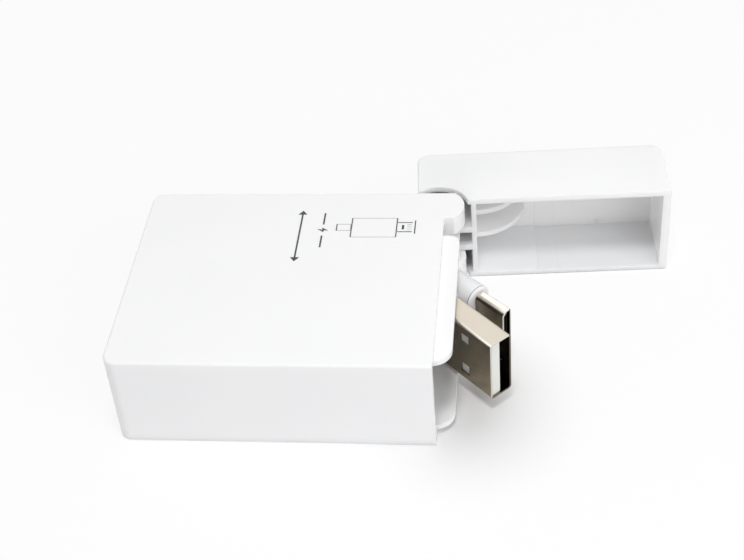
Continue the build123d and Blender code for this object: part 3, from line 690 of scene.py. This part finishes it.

# %% [markdown]
# Each lead leaves the reel at its far side, runs straight past the guide posts and bends into the back of
# its plug. The plug slides out along its own axis and pulls the lead after it. The bend ends halfway
# between the route's corner and its last point. The two straight runs lie side by side, one lead's pitch
# apart.

# %% Leads
reel_x = joints["reel_spin"]["pos_m"][0] / MM
lead_slack = 0.05
lead_pitch = lead_sheet.thickness + lead_slack
run_a = 16.475
run_micro = run_a + lead_pitch
lead_smoothness = 16
lead_a_points = [(-0.4, run_a), (3.5, run_a), (8.72, run_a), (14.43, 10.52), (15.06, 9.86)]
lead_micro_points = [
    (reel_x, run_micro),
    (10.24, run_micro),
    (16.41, run_micro),
    (20.87, 13.06),
    (21.36, 12.59),
]
for node_name, body, points in (
    ("usb_a_lead", "usb_a", lead_a_points),
    ("micro_lead", "micro", lead_micro_points),
):
    lead = ribbon(node_name.replace("_lead", "_ribbon"), points, lead_smoothness, lead_sheet)
    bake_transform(lead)
    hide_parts(node_name)

# %% [markdown]
# On the reel both leads lie together, so every full turn brings each of them in by two lead thicknesses
# and the slack between. A loop works out the spiral from the rim to the hub, with 24 points to a turn.
# The inner lead leaves its spiral along a short straight stretch, which keeps the standing lead clear of
# the turning reel.

# %% Wound leads
points_per_turn = 24
coil_smoothness = 2


def spiral(radius, step, turns, start):
    """Points round the reel's axle. Each turn adds one step to the radius, and a step may be negative."""
    points = []
    for count in range(int(turns * points_per_turn) + 1):
        wound = count / points_per_turn
        reach = radius + step * wound
        angle = start + 2 * math.pi * wound
        points.append((reel_x + reach * math.cos(angle), reach * math.sin(angle)))
    return points


Coil = namedtuple("Coil", "outer inner straight_end")
hub_radius = 6.0
turn_step = 2 * lead_pitch
innermost = hub_radius + lead_slack + lead_sheet.thickness / 2
coils = {
    "wound_usb_a_lead": Coil(run_a, innermost, [(-0.45, run_a), (-3.4, run_a)]),
    "wound_micro_lead": Coil(run_micro, innermost + lead_pitch, []),
}
for name, (outer, inner, straight_end) in coils.items():
    turns = (outer - inner) / turn_step
    route = straight_end + spiral(outer, -turn_step, turns, math.pi / 2)
    coil = ribbon(name, route, coil_smoothness, lead_sheet)
    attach(coil, "reel")
    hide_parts("cable_roll")
    print(coil.name, "has", round(turns, 2), "turns")

# %% [markdown]
# The spring that winds the leads in is a thin steel ribbon in the cup below the reel. Its outer end is
# hooked into the cup and turns with the reel, and its inner end sits in the slot of the axle, which
# stands still. So it is split there: the coil rides the reel, and the tang stays with the box.

# %% Mainspring
spring_low, spring_high = [corner.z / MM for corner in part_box("mainspring")]
spring_sheet = Sheet(
    width=spring_high - spring_low,
    thickness=0.2,
    rounding=0.04,
    middle=(spring_low + spring_high) / 2,
    finish=spring_steel,
    slot="spring_steel",
)
tang_root = 0.6
spring_start = 3.0
spring_pitch = 2.5
spring_turns = 4
spring_hook = 15.05
tang_reaches = (tang_root, (tang_root + spring_start) / 2, spring_start)
tang_points = [(reel_x + reach, 0) for reach in tang_reaches]
coil_points = spiral(spring_start, spring_pitch, spring_turns, 0) + [(reel_x + spring_hook, 0)]
for name, points, body in (("spring_coil", coil_points, "reel"), ("spring_tang", tang_points, "case")):
    strip = ribbon(name, points, coil_smoothness, spring_sheet)
    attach(strip, body)
    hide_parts("mainspring")

# %% [markdown]
# The small plug's latches reach out through two slots in its shell. A strip of black plastic lines the
# shell behind them, so no daylight shows through the slots. It is one more straight ribbon, laid along
# the plug.

# %% Plug lining
lining_across = 0.64
lining_back, lining_front = -6.0, -0.6
lining_smoothness = 2
lining_sheet = Sheet(
    width=5.2,
    thickness=0.04,
    rounding=0.01,
    middle=mid_height,
    finish=black_insulator,
    slot="black_insulator",
)
plug_turn = Matrix.Rotation(plug_micro.angle, 3, "Z")
lining_points = []
for along in (lining_back, (lining_back + lining_front) / 2, lining_front):
    spot = plug_micro.front / MM + plug_turn @ Vector((along, lining_across, 0.0))
    lining_points.append((spot.x, spot.y))
lining = ribbon("micro_lining", lining_points, lining_smoothness, lining_sheet)
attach(lining, "micro")

# %% [markdown]
# Plastic enters a mould through a small gate, which leaves a round scar. The lid's is on its end wall,
# close to the floor. It starts as a cylinder primitive that is turned to lie against the wall, and a
# Bevel softens its rim. Its place is given in the directions of the shut lid, from the hinge.

# %% Gate mark
gate_radius = 0.45
gate_thickness = 0.16
gate_rounding = 0.04
gate_spot = Vector((14.2, -29.6, 1.75))
bpy.ops.object.select_all(action="DESELECT")
bpy.ops.mesh.primitive_cylinder_add(
    vertices=32,
    radius=gate_radius * MM,
    depth=gate_thickness * MM,
    location=lid_pivot + Matrix.Rotation(lid_turn, 3, "Z") @ gate_spot * MM,
    rotation=(0, math.pi / 2, lid_turn),
)
gate = bpy.context.object
gate.name = "gate_mark"
bpy.ops.object.transform_apply(location=True, rotation=True, scale=False)
apply_modifier(gate, "BEVEL", width=gate_rounding * MM, segments=2)
dress(gate, white_plastic)
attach(gate, "lid")
print("gate mark", gate_radius * 2, "mm across")

# %% [markdown]
# The print on the top is a thin film of ink. Each mark is a closed outline, and a curve set to fill
# leaves a hole wherever one outline lies inside another, so a frame is simply two rectangles. Converted
# to a mesh and set on the top face, it stands a hundredth of a millimetre proud.

# %% Ink
ink_depth = 0.012
ink_tones = (0.035, 0.035, 0.038), (0.07, 0.07, 0.072)
ink_scale = 900.0


def ink_finish():
    finish = new_finish("grey_ink")
    patch = finish.ramp(finish.noise(finish.place(), ink_scale, detail=3.0), low=0.35, high=0.75)
    surface = {"Base Color": finish.blend(patch, *ink_tones), "Roughness": 0.5 + patch * 0.15}
    return finish.show(finish.node("BsdfPrincipled", None, surface))


grey_ink = ink_finish()


def ink_film(name, outlines):
    film = bpy.data.curves.new(name, "CURVE")
    film.dimensions = "2D"
    film.fill_mode = "BOTH"
    film.extrude = ink_depth * MM
    for outline in outlines:
        draw(film, "POLY", outline).use_cyclic_u = True
    piece = mesh_at(case_top, name, film)
    dress(piece, grey_ink)
    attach(piece, "case")
    print(name, "has", len(outlines), "outlines")


print("ink is", ink_depth, "mm thick")

# %% [markdown]
# The pictogram is a plug seen from above: a grip, the plug's shell with its contacts, and a stub of lead.
# The short sides of the drawing are heavier than the long ones, as they are in the print.

# %% Plug pictogram
heavy = 0.2
thin = 0.06


def box_outline(x0, y0, x1, y1):
    return [(x0, y0), (x1, y0), (x1, y1), (x0, y1)]


def hollow_box(x0, y0, x1, y1, left, right):
    """A rectangle and the smaller one that hollows it, with strokes of their own at the two ends."""
    return [box_outline(x0, y0, x1, y1), box_outline(x0 + left, y0 + thin, x1 - right, y1 - thin)]


shell_back, shell_front, rim = 18.55, 21.1, 21.5
shell_sides = [box_outline(shell_back, y, shell_front, y + heavy) for y in (13.75, 11.2)]
shell_rim = [box_outline(rim, 10.75, rim + heavy, 14.45)]
latch_mark = [box_outline(19.3, 11.95, 19.7, 13.15)]
contact_marks = [box_outline(20.2, y, 21.0, y + thin) for y in (11.75, 12.25, 12.75, 13.25)]
ink_film("grip_pictogram", hollow_box(10.4, 9.8, 18.5, 15.1, left=heavy, right=heavy))
ink_film("shell_pictogram", shell_sides + shell_rim + latch_mark + contact_marks)
ink_film("stub_pictogram", hollow_box(7.8, 11.6, 10.35, 13.4, left=heavy, right=thin))

# %% [markdown]
# Two rows of plain signs stand beside it: a bolt between dashes for charging, and a two-way arrow for
# data. They are drawn along the row first, and then turned so that the row reads towards the near side.

# %% Charging and data signs
stroke = 0.3
charge_x, data_x = 4.5, 0.7
bolt = [(0.8, 2.0), (0.0, 0.9), (0.55, 0.9), (0.35, 0.0), (1.25, 1.2), (0.7, 1.2)]
dash = box_outline(0, 0.85, 3.2, 0.85 + stroke)


def two_way_arrow(length, height, head):
    middle = height / 2
    upper = [(0, middle), (head, height), (head, middle + stroke / 2), (length - head, middle + stroke / 2)]
    lower = [(length - u, height - v) for u, v in upper]
    return upper + [(length - head, height)] + lower + [(head, 0)]


def along_row(outline, row_x, row_y):
    return [(row_x + v, row_y - u) for u, v in outline]


charge_row = [along_row(sign, charge_x, y) for sign, y in ((dash, 16.5), (bolt, 12.4), (dash, 10.2))]
data_row = [along_row(two_way_arrow(length=14.0, height=1.6, head=1.1), data_x, 17.2)]
ink_film("charging_sign", charge_row)
ink_film("data_sign", data_row)
